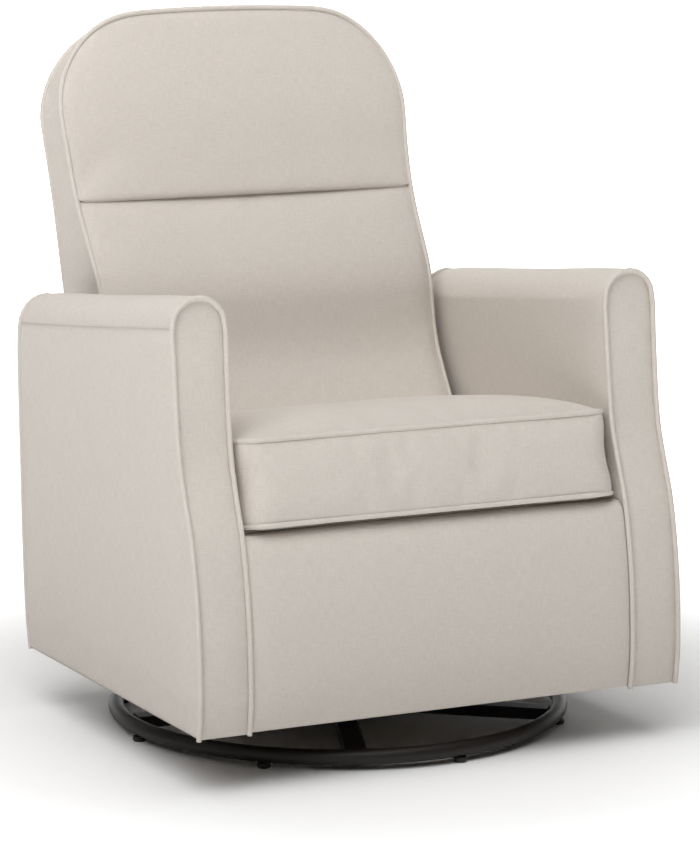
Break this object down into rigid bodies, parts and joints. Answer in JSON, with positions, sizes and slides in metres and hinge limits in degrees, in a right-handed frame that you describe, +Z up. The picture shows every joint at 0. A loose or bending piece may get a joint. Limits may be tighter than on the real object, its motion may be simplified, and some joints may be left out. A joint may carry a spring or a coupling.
{
  "type": "glider nursery chair",
  "caption": "Upholstered nursery armchair with a loose boxed seat cushion, hung on swing links so that it glides, on a round steel swivel base.",
  "frame": {"origin": "centre of the chair's overall footprint, on the floor", "axes": "+Z up, -Y towards the front, +X to the right as seen from the front"},
  "size_m": [0.7056, 0.7272, 0.9515],
  "materials": {
    "linen_fabric": "matt cream plain-weave linen look",
    "welt_fabric": "matt cream bias-cut welt",
    "deck_cloth": "matt",
    "wood": "unfinished plywood and hardwood",
    "bronze_powder_coat": "semi-gloss dark bronze powder coat",
    "zinc_steel": "zinc plated",
    "glide_nylon": "moulded nylon"
  },
  "bodies": {
    "base": {"base_ring": "bronze_powder_coat", "base_spoke_1": "bronze_powder_coat", "base_spoke_2": "bronze_powder_coat", "base_spoke_3": "bronze_powder_coat", "base_spoke_4": "bronze_powder_coat", "base_spoke_5": "bronze_powder_coat", "hub": "bronze_powder_coat", "bearing_lower_race": "zinc_steel", "ball_cage": "zinc_steel", "kingpin": "zinc_steel", "foot_glide_1": "glide_nylon", "foot_glide_2": "glide_nylon", "foot_glide_3": "glide_nylon", "foot_glide_4": "glide_nylon", "foot_glide_5": "glide_nylon", "foot_glide_6": "glide_nylon", "foot_glide_7": "glide_nylon", "foot_glide_8": "glide_nylon"},
    "swivel": {"bearing_upper_race": "zinc_steel", "swivel_carrier": "bronze_powder_coat", "hanger_left": "bronze_powder_coat", "hanger_right": "bronze_powder_coat", "upper_rivet_front_left": "zinc_steel", "upper_rivet_rear_left": "zinc_steel", "upper_rivet_front_right": "zinc_steel", "upper_rivet_rear_right": "zinc_steel"},
    "front_left_link": {"link_front_left": "zinc_steel"},
    "rear_left_link": {"link_rear_left": "zinc_steel"},
    "front_right_link": {"link_front_right": "zinc_steel"},
    "rear_right_link": {"link_rear_right": "zinc_steel"},
    "chair": {"apron_pad": "linen_fabric", "arm_board_left": "wood", "arm_board_right": "wood", "arm_front_piping_left": "welt_fabric", "arm_front_piping_right": "welt_fabric", "arm_pad_left": "linen_fabric", "arm_pad_right": "linen_fabric", "arm_rear_piping_left": "welt_fabric", "arm_rear_piping_right": "welt_fabric", "back_frame": "wood", "back_front_piping": "welt_fabric", "back_pad": "linen_fabric", "back_rear_piping": "welt_fabric", "glide_rail_left": "bronze_powder_coat", "glide_rail_right": "bronze_powder_coat", "headrest_pad": "linen_fabric", "lower_rivet_front_left": "zinc_steel", "lower_rivet_front_right": "zinc_steel", "lower_rivet_rear_left": "zinc_steel", "lower_rivet_rear_right": "zinc_steel", "rear_panel_pad": "linen_fabric", "seat_deck": "deck_cloth", "seat_rail_front": "wood", "seat_rail_left": "wood", "seat_rail_rear": "wood", "seat_rail_right": "wood", "seat_springs": "zinc_steel"},
    "cushion": {"seat_cushion": "linen_fabric", "cushion_piping_top": "welt_fabric", "cushion_piping_bottom": "welt_fabric"}
  },
  "joints": [
    {"name": "swivel_turn", "type": "hinge", "parent": "base", "child": "swivel", "pos_m": [0, -0.0427, 0.045], "axis": [0, 0, 1], "continuous": true},
    {"name": "glide", "type": "hinge", "parent": "swivel", "child": "front_left_link", "pos_m": [-0.1965, -0.1727, 0.228], "axis": [1, 0, 0], "range_deg": [-20, 20]},
    {"name": "chair_level", "type": "hinge", "parent": "front_left_link", "child": "chair", "pos_m": [-0.1965, -0.1727, 0.118], "axis": [1, 0, 0], "range_deg": [-20, 20]},
    {"name": "rear_left_link_swing", "type": "hinge", "parent": "swivel", "child": "rear_left_link", "pos_m": [-0.1965, 0.0873, 0.228], "axis": [1, 0, 0], "range_deg": [-20, 20]},
    {"name": "front_right_link_swing", "type": "hinge", "parent": "swivel", "child": "front_right_link", "pos_m": [0.1965, -0.1727, 0.228], "axis": [1, 0, 0], "range_deg": [-20, 20]},
    {"name": "rear_right_link_swing", "type": "hinge", "parent": "swivel", "child": "rear_right_link", "pos_m": [0.1965, 0.0873, 0.228], "axis": [1, 0, 0], "range_deg": [-20, 20]},
    {"name": "cushion_lift", "type": "slide", "parent": "chair", "child": "cushion", "axis": [0, 0, 1], "range_m": [0, 0.2]}
  ],
  "couplings": [
    {"joint": "chair_level", "follows": "glide", "ratio": -1},
    {"joint": "rear_left_link_swing", "follows": "glide", "ratio": 1},
    {"joint": "front_right_link_swing", "follows": "glide", "ratio": 1},
    {"joint": "rear_right_link_swing", "follows": "glide", "ratio": 1}
  ]
}
